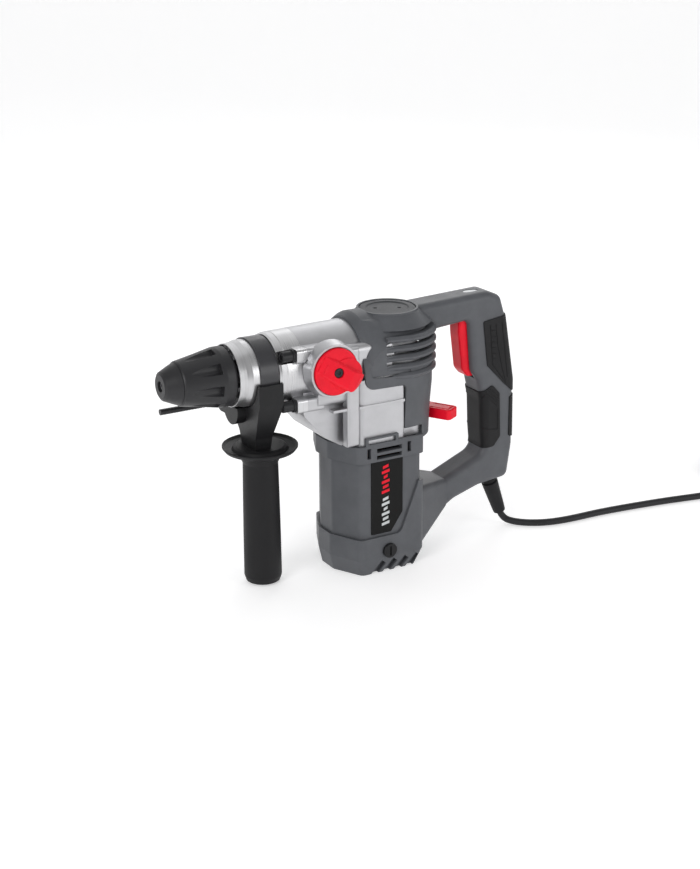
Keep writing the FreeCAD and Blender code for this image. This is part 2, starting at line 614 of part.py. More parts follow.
# ---------------------------------------------------------------- motor
def make_motor():
    core = ring("core_blank", d.shaft_radius, d.core_radius, d.core_low, d.core_high)
    slots = []
    for number in range(12):
        turn = math.radians(30 * number)
        slots.append(rod("slot", 2.0, 60, 21.5 * math.cos(turn), 21.5 * math.sin(turn), d.core_low - 5))
    node(cut("core_cut", core, *slots), "armature_core")
    winding = []
    for low, high in ((d.core_low - 11, d.core_low), (d.core_high, d.core_high + 10)):
        winding.append(turned("winding", [
            (d.shaft_radius, low), (15, low), (20, low + 3.5), (20, high - 3), (19, high), (d.shaft_radius, high)],
            "z"))
    node(fused("winding_pair", winding), "armature_windings")
    node(ring("commutator", d.shaft_radius, 12.5, 15, 34), "commutator")
    hub = ring("fan_hub", d.shaft_radius, 11, 124, 136)
    disc = ring("fan_disc", d.shaft_radius, 37, 134, 136)
    blades = []
    for number in range(10):
        blades.append(block("fan_blade", (9, -0.8, 125), (36.5, 0.8, 135)))
        blades[-1].Placement = FreeCAD.Placement(Vector(0, 0, 125), FreeCAD.Rotation(Z_AXIS, 36 * number)).multiply(
            FreeCAD.Placement(Vector(9, -0.8, 0), FreeCAD.Rotation()))
        blades[-1].setExpression("Placement.Base.x", None)
    node(fused("fan_body", [hub, disc] + blades), "cooling_fan")
    node(ring("stator_stack", 24.3, 37.4, d.core_low, d.core_high), "stator_core")
    coils = []
    for low, high in ((d.core_low - 9, d.core_low), (d.core_high, d.core_high + 9)):
        for side in (-1, 1):
            lump = ring("coil_ring", 25, 36, low, high)
            half = block("coil_half", (-28, 3 if side > 0 else -40, low), (28, 40 if side > 0 else -3, high))
            coils.append(common("coil_lump", lump, half))
    node(fused("coil_set", coils), "stator_coils")
    holders, brushes, caps = [], [], []
    for side in (-1, 1):
        low_y, high_y = (14.5, 37.5) if side > 0 else (-37.5, -14.5)
        shell = block("holder", (-6, low_y, d.brush_z - 7), (6, high_y, d.brush_z + 7))
        inner = block("holder_way", (-3.6, low_y, d.brush_z - 4.6), (3.6, high_y, d.brush_z + 4.6))
        holders.append(cut("brush_holder", shell, inner))
        low_y, high_y = (12.6, 34) if side > 0 else (-34, -12.6)
        brushes.append(block("brush", (-3.5, low_y, d.brush_z - 4.5), (3.5, high_y, d.brush_z + 4.5)))
        cap = turned("cap_blank", [(0, 40.2), (7.6, 40.2), (7.6, 49.2), (7.1, 49.7), (0, 49.7)], "y", z=d.brush_z)
        slot = block("cap_slot", (-1, 48.2, d.brush_z - 5), (1, 51, d.brush_z + 5))
        screw_cap = cut("brush_cap", cap, slot)
        if side < 0:
            screw_cap.Placement = FreeCAD.Placement(Vector(0, 0, 0), FreeCAD.Rotation(Z_AXIS, 180))
        caps.append(screw_cap)
    node(fused("holder_pair", holders), "brush_holders")
    node(fused("brush_pair", brushes), "carbon_brushes")
    node(fused("cap_pair", caps), "brush_caps")


def make_field_housing():
    radius, half, rear = float(d.motor_radius), float(d.motor_half_width), float(d.motor_rear_x)
    wall, top, low = float(d.wall), float(d.case_floor), float(d.cap_top) - 3
    tube = motor_prism(radius, half, rear, low, top)
    flange = motor_prism(radius + 4.6, half + 3.4, rear + 2, top - 18, top)
    tabs = []
    for side in (-1, 1):
        near, far = sorted((side * (half + 0.7), side * (half + 3.4)))
        tabs.append(box((-27.5, near, top - 2), (10, far, top + 8.2)))
        tabs.append(box((9, near, top - 2), (rear - 2, far, top + 1.8)))
    solid = tube.fuse([flange] + tabs)
    hollow = motor_prism(radius - wall, half - wall, rear - wall, low - 1, top + 1, 6.0)
    windows = []
    for side in (-1, 1):
        near, far = sorted((side * (half - 6), side * (half + 6)))
        windows.append(box((-24.5, near, top + 1.2), (7, far, top + 6.2)))
        windows.append(box((-15, near, top - 8.5), (14, far, top - 4.2)))
        windows.append(box((-15, near, top - 15.5), (14, far, top - 11.5)))
        windows += [box((x, near, top - 13.5), (x + 4.2, far, top - 2.8)) for x in (-26, 20.5)]
    shell = solid.cut(hollow).cut(windows[0].fuse(windows[1:]))
    node(shaped("field_housing", shell.removeSplitter()), "field_housing")
    plates = []
    for side in (-1, 1):
        near, far = sorted((side * (half + 0.05), side * (half + 0.85)))
        plate = side_face([(-20, 121, 1), (16.5, 121, 1), (16.5, 62.5, 1), (3, 43.2, 1), (-20, 43.2, 1)], near)
        plates.append(plate.extrude(Vector(0, far - near, 0)))
    node(shaped("plate_pair", Part.makeCompound(plates)), "side_plates")


# ---------------------------------------------------------------- plastic clamshell
HANDLE = [
    (10, 263.5, 0), (138, 268.5, 12), (153, 262, 9.5), (160, 240, 25), (171.5, 170, 40), (172.5, 98, 40),
    (167, 61, 8.5), (130, 57.3, 12), (99, 48, 25), (71, 31, 25), (20, 10, 0), (20, 46, 0),
    (136, 93.5, 14), (133.5, 118, 30), (132, 152, 25), (126.5, 174, 10), (118.5, 186, 12), (113.5, 240.7, 5),
    (63, 236.2, 6), (10, 232, 0)]


def hood(points, grow):
    """A solid turned about the hammer axis from (x, radius) points."""
    rim = [Vector(x, 0, H + radius + grow) for x, radius in points]
    corners = [Vector(rim[0].x, 0, H)] + rim + [Vector(rim[-1].x, 0, H)]
    return Part.Face(Part.makePolygon(corners + corners[:1])).revolve(Vector(0, 0, H), X_AXIS, 360)


def cover_body(grow):
    """Upper cover: a hood round the gear case, straight sides, round about the crank axis at the back."""
    half, top = float(d.cover_half_width) + grow, float(d.cover_top) + grow
    low, crank_x = float(d.cover_low) - grow, float(d.crank_x)
    side = [(half - 3, low, 0), (half - 2.4, 160, 20), (half, 190, 20), (half, 238, 12), (27, top, 18)]
    section = side + [(-a, b, c) for a, b, c in reversed(side)]
    front_x = float(d.cover_front_x)
    corners = [(Vector(front_x, a, b), c) for a, b, c in section]
    straight = Part.Face(Part.Wire(rounded_edges(corners))).extrude(Vector(crank_x - front_x, 0, 0))
    bevel = [(front_x, 38.9), (-26, 40), (-20, 43.3), (-17, 44.2)]
    limit = hood(bevel + [(8, 48.6)], grow).fuse([
        cylinder(46 + grow, 8 - front_x, front_x, 0, H - 14, X_AXIS),
        box((front_x, -60, 100), (8.1, 60, H - 14)), box((8, -60, 100), (crank_x, 60, 290))])
    crown = hood(bevel + [(6, 44.2)], grow).common(box((-60, -60, H + 15), (20, 60, 290)))
    half_section = [(0, low, 0)] + side + [(0, top, 0)]
    corners = [(Vector(crank_x, a, b), c) for a, b, c in half_section]
    round_end = Part.Face(Part.Wire(rounded_edges(corners))).revolve(Vector(crank_x, 0, 0), Z_AXIS, -180)
    return straight.common(limit).fuse([crown, round_end])


def front_region():
    """Everything in front of the cover's edge and below the side panel."""
    panel_x = float(d.panel_rear_x)
    return side_plate([(-90, 300, 0), (-28, 300, 0), (-25.5, 246, 0), (-27.5, 226, 12), (-26.5, 197.5, 11),
                       (panel_x, 196.2, 4), (panel_x, 120, 0), (-90, 120, 0)], 60)


def louvre(level):
    """One cooling rib: a wedge along each side that runs into a round rib at the back."""
    crank_x = float(d.crank_x)

    def section(x, reach, side=1):
        rib = [(40, level - 3), (reach - 1.8, level - 3), (reach, level - 1.2), (reach, level + 0.6),
               (reach - 2.6, level + 3), (40, level + 3)]
        return [Vector(x, side * a, b) for a, b in rib]

    def loop(points):
        return Part.makePolygon(points + points[:1])

    solids = [Part.Face(loop(section(crank_x, 49.3))).revolve(Vector(crank_x, 0, 0), Z_AXIS, -180)]
    for side in (-1, 1):
        ends = [loop(section(-1, 44.6, side)), loop(section(crank_x, 49.3, side))]
        solids.append(Part.makeLoft(ends, True, True))
    return solids


def tail_body(grow):
    """Tail around the lower end of the motor, with a tapered foot."""
    radius, half, rear = (float(size) + grow for size in (d.motor_radius, d.motor_half_width, d.motor_rear_x))
    low = -min(grow, 0.0) if grow < 0 else 0.0
    sections = [motor_plan(radius - 4, half - 3, rear - 8, low), motor_plan(radius, half, rear, 17)]
    foot = Part.makeLoft(sections, True)
    return foot.fuse(motor_prism(radius, half, rear, 17, 92))


def arm_flare(grow):
    """The lower arm widens to the full width of the tail."""
    wide = float(d.motor_half_width) + float(d.cap_grow) + grow
    narrow = float(d.handle_half_width) + grow
    loops = []
    ends = ((30, 10 - grow, 84 + grow, wide, 6), (88, 41 - grow, 73 + grow, narrow, 6))
    for x, low, high, half, corner in ends:
        corners = [(Vector(x, -half, low), corner), (Vector(x, half, low), corner),
                   (Vector(x, half, high), corner), (Vector(x, -half, high), corner)]
        loops.append(Part.Wire(rounded_edges(corners)))
    return Part.makeLoft(loops, True, True)


def make_clamshell():
    wall, half = float(d.wall), float(d.handle_half_width)
    crank_x, top, rear = float(d.crank_x), float(d.case_floor), float(d.motor_rear_x)
    handle = side_plate(HANDLE, half)
    rims = [e for e in handle.Edges if abs(abs(e.CenterOfMass.y) - half) < 1e-6]
    handle = handle.makeFillet(7.5, rims)
    handle_face = side_face(HANDLE, -half + wall).makeOffset2D(-wall)
    handle_hollow = handle_face.extrude(Vector(0, 2 * (half - wall), 0))

    cover = cover_body(0)
    shoulder = Part.makeCone(44, 31, 12, Vector(crank_x, 0, 251.5), Z_AXIS)
    cap_ring = cylinder(31, 10, crank_x, 0, 255.4)
    fins = []
    for level in (243.8, 234.3, 224.8, 215.3, 206.2):
        fins += louvre(level)
    panels = []
    for side in (-1, 1):
        near, far = sorted((side * 44.2, side * 60))
        panel = side_face([(-21, 244, 3), (-20.5, 209, 6), (crank_x, 205, 0), (crank_x, 244, 0)], near)
        panels.append(panel.extrude(Vector(0, far - near, 0)))
    tail = tail_body(float(d.cap_grow))
    flare = arm_flare(0)
    cap_edge = side_plate([(-80, 40, 0), (14, 40, 8), (34, 90, 0), (34, 100, 0), (-80, 100, 0)], 60)
    outer = cover.cut(front_region()).cut(panels[0].fuse(panels[1])).fuse([shoulder, cap_ring] + fins)
    outer = outer.fuse([handle, tail.cut(cap_edge), flare])

    inner_cover = cover_body(-wall).cut(box((-200, -60, 100), (-32, 60, 300)))
    cap_well = cylinder(28.8, 30, crank_x, 0, 247)
    motor_room = motor_prism(float(d.motor_radius) + 0.15, float(d.motor_half_width) + 0.15, rear + 0.15,
                             float(d.cap_top) - 3.2, 150)
    flange_room = motor_prism(float(d.motor_radius) + 4.8, float(d.motor_half_width) + 3.6, rear + 2.2,
                              top - 18.2, top + 9.2)
    tail_hollow = motor_prism(float(d.motor_radius) - wall, float(d.motor_half_width) - wall, rear - wall,
                              21, float(d.cap_top) - 3.2, 6.0).fuse(
        Part.makeLoft([motor_plan(33, 31, 27, wall), motor_plan(44, 41, 37, 21.5)], True))
    flare_hollow = arm_flare(-wall).cut(box((0, -60, 0), (rear + 0.1, 60, 120)))
    case_room = case_prism(0.15, top - 1, H - 13, float(d.panel_rear_x) - 0.2)
    outer = outer.cut(inner_cover.fuse([cap_well, motor_room, flange_room, tail_hollow, case_room]))
    outer = outer.cut(handle_hollow.fuse(flare_hollow).cut(cylinder(31, 60, crank_x, 0, 230)))

    slots = []
    for level in (239.05, 229.55, 220.05):
        band = cylinder(50, 3.4, crank_x, 0, level - 1.7).cut(cylinder(40.5, 3.4, crank_x, 0, level - 1.7))
        rear_gap = box((20, -7, level - 2), (90, 7, level + 2))
        front_gap = box((-60, -60, level - 2), (crank_x, 60, level + 2))
        slots.append(band.cut(rear_gap.fuse(front_gap)))
        slots += [box((-2, y, level - 1.7), (crank_x + 0.1, y + 9, level + 1.7)) for y in (-50, 41)]
    trigger_slot = box((100, -10, 176.4), (130, 10, 250))
    lens_seat = cylinder(4.6, 8, 0, 0, -6)
    lens_seat = lens_seat.transformGeometry(FreeCAD.Matrix(1.9, 0, 0, 124.5, 0, 1, 0, 0, 0, 0, 1, 267.8))
    level, lever_x = float(d.lever_z), float(d.lever_x)
    bosses = cylinder(7, 10, lever_x, 0, level - 15).fuse(cylinder(7, 12, lever_x, 0, level + 4))
    outer = outer.fuse(bosses.common(cover_body(-1)))
    lever_room = cylinder(24.5, 12.2, lever_x, 0, level - 6.1)
    pin_hole = cylinder(3, 24, lever_x, 0, level - 12)
    cap_holes = [cylinder(7.6, 110, 0, -55, d.brush_z, Y_AXIS)]
    relief_hole = Part.makeCylinder(7, 30, RELIEF_TOP, RELIEF_DIRECTION)
    notches = []
    for number in range(4):
        for side in (-1, 1):
            notch = box((-3.4, -9, -9), (3.4, 9, 10))
            notch.rotate(Vector(0, 0, 0), Y_AXIS, 40)
            notch.translate(Vector(-12 + 13.5 * number, side * 48.5, 4))
            notches.append(notch)
    rooms = [trigger_slot, lens_seat, lever_room, pin_hole, relief_hole]
    outer = outer.cut(slots[0].fuse(slots[1:] + rooms + cap_holes + notches))
    outer = outer.removeSplitter()

    tongue = box((-24, -7, -1), (24, 0, float(wall) + 0.01))
    near_half = box((-120, -70, -10), (LONG, 0, 320)).cut(tongue)
    far_half = box((-120, 0, -10), (LONG, 70, 320)).fuse(tongue)
    node(shaped("clamshell_near", outer.common(near_half)), "clamshell_near")
    node(shaped("clamshell_far", outer.common(far_half)), "clamshell_far")
    return handle


def make_pads(handle):
    """Soft rubber pads, a skin on the handle."""
    grow = 1.1
    half = float(d.handle_half_width) + grow
    skin = side_face(HANDLE, -half).makeOffset2D(grow, join=2).extrude(Vector(0, 2 * half, 0))
    rims = [e for e in skin.Edges if abs(abs(e.CenterOfMass.y) - half) < 1e-6 and e.CenterOfMass.x > 95]
    skin = skin.makeFillet(8.2, rims).cut(handle)
    regions = [
        [(130, 238, 2), (180, 245, 0), (185, 160, 0), (168, 158, 2), (157, 168, 2), (136, 190, 3)],
        [(120, 157, 0), (133, 163, 2), (143, 168, 3), (152, 158, 3), (154, 110, 4), (146, 100, 4),
         (120, 97, 0)],
        [(165, 152, 2), (185, 156, 0), (185, 104, 0), (165, 108, 2)],
    ]
    pads = []
    for corners in regions:
        pads += skin.common(side_plate(corners, 30)).Solids
    node(shaped("pad_set", Part.makeCompound(pads)), "grip_pads")


# ---------------------------------------------------------------- controls
def make_controls():
    crank_x = float(d.crank_x)
    disc = turned("cap_disc", [
        (0, 247), (20, 247), (20, 258), (d.grease_cap_radius, 258), (d.grease_cap_radius, d.grease_cap_top - 0.8),
        (d.grease_cap_radius - 0.8, d.grease_cap_top), (22, d.grease_cap_top), (20.5, d.grease_cap_top - 1),
        (0, d.grease_cap_top - 1)], "z", x=d.crank_x)
    pins = []
    for turn in (math.radians(-26), math.radians(154)):
        pins.append(rod("cap_hole", 2.1, 6, crank_x + 12 * math.cos(turn), 12 * math.sin(turn), 260))
    node(cut("grease_cap_cut", disc, *pins), "grease_cap")

    lens = cylinder(4.5, 5, 0, 0, -5)
    lens = lens.transformGeometry(FreeCAD.Matrix(1.9, 0, 0, 124.5, 0, 1, 0, 0, 0, 0, 1, 267.6))
    node(shaped("power_lens", lens), "power_lens")

    knob_x, knob_z, radius = float(d.knob_x), float(d.knob_z), float(d.knob_radius)
    plate = cylinder(radius, 5.8, 0, -53, 0, Y_AXIS)
    plate = plate.makeFillet(1.0, [e for e in plate.Edges if abs(e.CenterOfMass.y + 53) < 1e-6])
    tip = cylinder(16.4, 3.2, 10.8, -54, -4.2, Y_AXIS)
    profile = [(-20, -52), (-20, -53.6), (14, -60), (23, -59.4), (29, -55.5), (29, -50.8), (20, -50.8), (20, -52)]
    profile = [Vector(a, b, -11) for a, b in profile]
    ramp = Part.Face(Part.makePolygon(profile + profile[:1])).extrude(Vector(0, 0, 21))
    crest = [e for e in ramp.Edges if e.CenterOfMass.y < -56 and abs(e.CenterOfMass.x + 3) < 1]
    ramp = ramp.makeChamfer(2.4, crest)
    ramp.rotate(Vector(0, 0, 0), Y_AXIS, 33)
    plan = cylinder(radius - 0.3, 14, 0, -64, 0, Y_AXIS).fuse(cylinder(16.2, 14, 10.8, -64, -4.2, Y_AXIS))
    mark = [Vector(-16, -55.2, 1), Vector(-11, -55.2, 9.5), Vector(-8, -55.2, 2.5)]
    mark = Part.Face(Part.makePolygon(mark + mark[:1])).extrude(Vector(0, 4, 0))
    stem = cylinder(5, 23, 0, -50, 0, Y_AXIS)
    pin = cylinder(2, 2.4, -2.6, -27, 0, Y_AXIS)
    knob = plate.fuse([tip, ramp.common(plan), mark, stem, pin]).cut(cylinder(5, 9, 0, -63, 0, Y_AXIS))
    knob = knob.removeSplitter()
    knob.translate(Vector(knob_x, 0, knob_z))
    node(shaped("mode_knob", knob), "mode_knob")
    head = cylinder(4.4, 2.8, knob_x, -56.8, knob_z, Y_AXIS).cut(cylinder(2, 2, knob_x, -57.8, knob_z, Y_AXIS))
    node(shaped("knob_screw", head), "knob_screw")

    level = float(d.lever_z)
    hub = cylinder(12, 11, 0, 0, -5.5)
    blade = box((0, -9.5, -5.5), (40, 9.5, 5.5))
    tip = [e for e in blade.Edges if e.CenterOfMass.x > 30 and abs(e.CenterOfMass.z) < 1]
    blade = blade.makeFillet(4.5, tip)
    blade = blade.makeFillet(1.4, [e for e in blade.Edges if abs(abs(e.CenterOfMass.z) - 5.5) < 1e-6
                                   and e.CenterOfMass.x > 14])
    groove = box((14, -6.6, 4.7), (37.2, 6.6, 7)).cut(box((14, -4.6, 4), (35.2, 4.6, 8)))
    lever = hub.fuse(blade).cut(cylinder(3.05, 14, 0, 0, -7).fuse(groove)).removeSplitter()
    lever.rotate(Vector(0, 0, 0), Z_AXIS, -60)
    lever.translate(Vector(float(d.lever_x), 0, level))
    node(shaped("impact_stop_lever", lever), "impact_stop_lever")

    trigger = side_plate([(105.5, 247, 2), (105.3, 228, 60), (108.2, 206, 60), (110.6, 187, 9), (117.5, 178.7, 6),
                          (126, 179, 3), (126, 200, 0), (126, 247, 2)], 9.4)
    fronts = [e for e in trigger.Edges if abs(abs(e.CenterOfMass.y) - 9.4) < 1e-6 and e.CenterOfMass.x < 121]
    trigger = trigger.makeFillet(2.6, fronts)
    trigger = trigger.cut(cylinder(2.05, 30, 121, -15, 243, Y_AXIS))
    node(shaped("trigger", trigger), "trigger")
    pins = [rod("lever_pin", 3, 24, d.lever_x, 0, d.lever_z - 12), rod("trigger_pin", 2, 27, 121, -13.5, 243, "y")]
    node(fused("pin_set", pins), "pivot_pins")
    node(block("power_switch", (137.5, -10, 190), (155, 10, 232)), "power_switch")


# ---------------------------------------------------------------- side handle and depth rod
def make_side_handle():
    axis, grip_x = d.axis_height, float(d.side_grip_x)
    front, rear = float(d.band_front_x) - 4.6, float(d.band_rear_x)
    band_bore = d.collar_radius + d.clearance
    node(ring("clamp_band", band_bore, d.band_radius, d.band_front_x, d.band_rear_x, about="x"),
         "clamp_band")
    outline_points = [(-36.8, 217, 0), (-36.8, 196, 14), (-17.5, 158, 10), (-15.5, 146, 0), (15.5, 146, 0),
                      (17.5, 158, 10), (36.8, 196, 14), (36.8, 217, 0)]
    corners = [(Vector(front + 0.8, a, b), c) for a, b, c in outline_points]
    saddle = Part.Face(Part.Wire(rounded_edges(corners))).extrude(Vector(rear - front + 2.3, 0, 0))
    waist = side_plate([(front - 5, 220, 0), (front - 5, 140, 0), (front + 6.5, 140, 0), (front + 5, 160, 20),
                        (front - 0.5, 200, 10), (front - 0.5, 220, 0)], 50)
    back = side_plate([(rear + 5.5, 220, 0), (rear + 5.5, 140, 0), (rear - 1.5, 140, 0), (rear, 160, 20),
                       (rear + 4.2, 200, 10), (rear + 4.2, 220, 0)], 50)
    lobe = cylinder(10, 32, front - 8, d.rod_y, d.rod_z, X_AXIS)
    bridge = box((front + 1, 14, 178), (rear, 34, 194))
    front_lug = cylinder(15.5, 10.5, front - 8, 9, 184.5, X_AXIS)
    front_web = box((front - 8, 9, 176.4), (front + 2.5, 30, 196))
    bracket = saddle.cut(waist.fuse(back)).fuse([lobe, bridge, front_lug, front_web])
    bracket = bracket.cut(cylinder(36, 20, float(d.barrel_step_x) - 0.3, 0, H, X_AXIS))
    bracket = bracket.cut(cylinder(float(d.band_radius) + 0.02, 60, -160, 0, H, X_AXIS))
    bracket = bracket.cut(cylinder(float(d.rod_radius) + 0.08, 80, -170, d.rod_y, d.rod_z, X_AXIS))
    bolt_way = cylinder(4.1, 60, grip_x, 0, 130).fuse(cylinder(8.2, 8, grip_x, 0, 176))
    node(shaped("handle_bracket", bracket.cut(bolt_way).removeSplitter()), "handle_bracket")
    node(turned("clamp_bolt", [(0, 96), (4, 96), (4, 176.1), (8, 176.1), (8, 183), (0, 183)], "z", x=d.side_grip_x),
         "clamp_bolt")
    foot = d.side_grip_foot
    grip = turned("side_grip_body", [
        (4.05, 95), (4.05, 145.9), (24, 145.9), (26.5, 144.6), (28, 142.2), (34.5, 143.4), (d.guard_radius, 145.6),
        (d.guard_radius, 144.2), (35, 141), (27, 137.6), (20.5, 134.5), (17.6, 128), (18.1, 100), (18.7, 55),
        (19.0, 14), (19.0, 8), (17.2, foot + 1.5), (13.5, foot), (0, foot), (0, 95)], "z", x=d.side_grip_x)
    panel = [Vector(17.0, 0, 118), Vector(17.2, 0, 100), Vector(17.8, 0, 55), Vector(18.0, 0, 26),
             Vector(25, 0, 26), Vector(25, 0, 118)]
    panel = Part.Face(Part.makePolygon(panel + panel[:1])).revolve(Vector(0, 0, 0), Z_AXIS, 44)
    panel.rotate(Vector(0, 0, 0), Z_AXIS, -95)
    node(cut("grip_cut", grip, place(shaped("grip_panel", panel), d.side_grip_x)), "side_grip")
    shaft = cylinder(d.rod_radius, 99.8, -212, d.rod_y, d.rod_z, X_AXIS)
    teeth = []
    for number in range(24):
        tooth = box((-186 + 3 * number, 20, float(d.rod_z) - 5), (-184.6 + 3 * number, 40, float(d.rod_z) - 2.2))
        teeth.append(tooth)
    node(shaped("depth_rod", shaft.cut(teeth[0].fuse(teeth[1:]))), "depth_rod")


# ---------------------------------------------------------------- supply cord
RELIEF_TOP = Vector(148.9, 0, 67.1)
RELIEF_DIRECTION = Vector(0.356, 0, -0.9345)
CORD_ROUTE = [
    tuple(RELIEF_TOP + RELIEF_DIRECTION * 55), (171.4, -1.5, 7.6), (179, -9, 3.9), (192, -22, 3.75),
    (212, -32, 3.75), (240, -36, 3.75), (276, -36.5, 3.75), (316, -41, 3.75), (358, -47, 3.75),
    (402, -56, 3.75), (440, -63.5, 3.75), (474, -66.4, 3.75), (500, -66.6, 3.75)]
COIL_CENTRE = (516.0, -15.0)
TAIL_ROUTE = [(523, -66.6, 18.4), (541, -66.0, 17.6), (559, -66.2, 15), (575, -66.4, 13.7)]
PLUG_START = 575.0


def cord_tube(name, route):
    """A round tube along straight runs and tangent arcs; its volume is section times length."""
    points = [Vector(*point) for point in route]
    corners = [(points[0], 0)]
    radii = []
    for i in range(1, len(points) - 1):
        back, ahead = points[i] - points[i - 1], points[i + 1] - points[i]
        turn = back.getAngle(ahead)
        radius = 0.45 * min(back.Length, ahead.Length) / math.tan(turn / 2)
        radii.append(radius)
        corners.append((points[i], radius))
    corners.append((points[-1], 0))
    path = Part.Wire(rounded_edges(corners, closed=False))
    start = path.Edges[0]
    direction = start.tangentAt(start.FirstParameter)
    if (start.valueAt(start.FirstParameter) - points[0]).Length > 1e-6:
        direction = points[1] - points[0]
    section = Part.Wire(Part.Circle(points[0], direction, float(d.cord_radius)).toShape())
    tube = path.makePipeShell([section], True, True)
    expected = math.pi * float(d.cord_radius) ** 2 * path.Length
    print(name, "length", round(path.Length, 1), "volume ratio", round(tube.Volume / expected, 4),
          "radii", [round(radius, 1) for radius in radii])
    return shaped(name, tube)


def make_cord():
    radius = float(d.cord_radius)
    relief = Part.Face(Part.makePolygon([
        Vector(r, 0, z) for r, z in ((radius + 0.02, 0), (9.5, 0), (9.5, 2.2), (7, 2.2), (7, 15), (8.9, 15.5),
                                     (8.7, 20), (7.1, 48), (6.6, 54.2), (radius + 0.02, 54.2), (radius + 0.02, 0))]))
    relief = relief.revolve(Vector(0, 0, 0), Z_AXIS, 360)
    relief.Placement = FreeCAD.Placement(RELIEF_TOP, FreeCAD.Rotation(Z_AXIS, RELIEF_DIRECTION))
    node(shaped("strain_relief", relief), "strain_relief")
    inside = [tuple(RELIEF_TOP + RELIEF_DIRECTION * 2)]
    node(cord_tube("cord", inside + CORD_ROUTE), "cord")
    middle, rise = float(d.coil_radius), 3 * 2 * radius
    centre_x, centre_y = COIL_CENTRE
    coil = turned("cord_coil", [
        (middle - 3 * radius, 2), (middle - 3 * radius + 2, 0), (middle + 3 * radius - 2, 0),
        (middle + 3 * radius, 2), (middle + 3 * radius, rise - 2), (middle + 3 * radius - 2, rise),
        (middle - 3 * radius + 2, rise), (middle - 3 * radius, rise - 2)], "z", x=centre_x, y=centre_y)
    node(coil, "cord_coil")
    node(cord_tube("cord_tail", TAIL_ROUTE), "cord_tail")
    plug = turned("plug_blank", [
        (0, 4.4), (0, 6.5), (2, 7.4), (12, 7.8), (26, 12.5), (31, 17), (32, 18.4), (42, 18.4), (43, 17.4), (43, 0),
        (5, 0), (5, 4.4)], x=PLUG_START - 5, y=-66.4, z=13.6)
    slab = block("plug_slab", (PLUG_START - 10, -90, 0.05), (PLUG_START + 50, -40, 27.2))
    node(common("plug_flat", plug, slab), "plug")
    pins = []
    for side in (-1, 1):
        pins.append(turned("plug_pin", [(0, 0), (0, 2.4), (17.5, 2.4), (19, 1.2), (19, 0)],
                           x=PLUG_START + 38, y=-66.4 + 9.5 * side, z=13.6))
    node(fused("pin_pair", pins), "plug_pins")


# ---------------------------------------------------------------- build, check, export
make_chuck()
make_mechanism()
make_gears()
make_barrel()
make_gear_housing()
make_motor()
make_field_housing()
handle_solid = make_clamshell()
make_pads(handle_solid)
make_controls()
make_side_handle()
make_cord()
doc.recompute()

problems = []
for thing in doc.Objects:
    if "Invalid" in thing.State or "Error" in thing.State:
        problems.append(f"{thing.Label}: {thing.State}")
for name, thing in NODES.items():
    if thing.Shape.isNull() or not thing.Shape.isValid() or not thing.Shape.Solids:
        problems.append(f"{name}: no valid solid")
if problems:
    raise RuntimeError("; ".join(problems))

os.makedirs("parts", exist_ok=True)
for name, thing in NODES.items():
    thing.Shape.exportStep(f"parts/{name}.step")
print(len(NODES), "nodes written")
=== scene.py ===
import bpy
import bmesh
import json
import math
from mathutils import Matrix, Vector
from mathutils.bvhtree import BVHTree


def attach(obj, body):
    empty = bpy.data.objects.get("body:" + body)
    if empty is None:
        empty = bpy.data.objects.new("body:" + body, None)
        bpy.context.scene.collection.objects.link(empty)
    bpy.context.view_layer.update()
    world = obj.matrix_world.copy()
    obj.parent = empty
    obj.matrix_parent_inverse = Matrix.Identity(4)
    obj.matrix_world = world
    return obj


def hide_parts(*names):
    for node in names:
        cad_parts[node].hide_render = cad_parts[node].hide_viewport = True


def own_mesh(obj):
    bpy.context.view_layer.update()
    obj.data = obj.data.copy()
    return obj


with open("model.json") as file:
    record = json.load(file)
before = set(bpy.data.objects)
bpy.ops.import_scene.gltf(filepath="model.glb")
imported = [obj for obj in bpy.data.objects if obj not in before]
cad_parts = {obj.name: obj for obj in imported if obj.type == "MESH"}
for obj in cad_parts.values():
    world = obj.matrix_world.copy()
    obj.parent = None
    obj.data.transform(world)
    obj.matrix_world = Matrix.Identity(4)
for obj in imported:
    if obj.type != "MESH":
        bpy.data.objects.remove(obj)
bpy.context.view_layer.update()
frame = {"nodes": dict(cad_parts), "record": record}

NODES = frame["nodes"]
HAMMER_AXIS_Z = 0.222
SIDES = ((-1, "near"), (1, "far"))


# ---------------------------------------------------------------- camera
CAMERA_PLACE = (-0.80119, -1.36119, 0.69501)
CAMERA_TURN = (-29.896, 19.553, -0.331)  # azimuth, elevation and roll in degrees
LENS_MM = 68.25
SENSOR_MM = 36


def make_camera():
    """A camera from its azimuth, elevation and roll."""
    azimuth, elevation, roll = map(math.radians, CAMERA_TURN)
    back = Vector((math.sin(azimuth) * math.cos(elevation), -math.cos(azimuth) * math.cos(elevation),
                   math.sin(elevation)))
    right = Vector((math.cos(azimuth), math.sin(azimuth), 0))
    up = back.cross(right)
    rolled_right = right * math.cos(roll) + up * math.sin(roll)
    rolled_up = up * math.cos(roll) - right * math.sin(roll)
    data = bpy.data.cameras.new("camera")
    data.lens = LENS_MM
    data.sensor_width = SENSOR_MM
    data.clip_start = 0.05
    data.clip_end = 50
    camera = bpy.data.objects.new("camera", data)
    turn = Matrix((rolled_right, rolled_up, back)).transposed().to_4x4()
    camera.matrix_world = Matrix.Translation(CAMERA_PLACE) @ turn
    bpy.context.collection.objects.link(camera)
    bpy.context.scene.camera = camera


make_camera()


# ---------------------------------------------------------------- mesh helpers
def new_object(name, mesh):
    obj = bpy.data.objects.new(name, mesh)
    bpy.context.collection.objects.link(obj)
    return obj


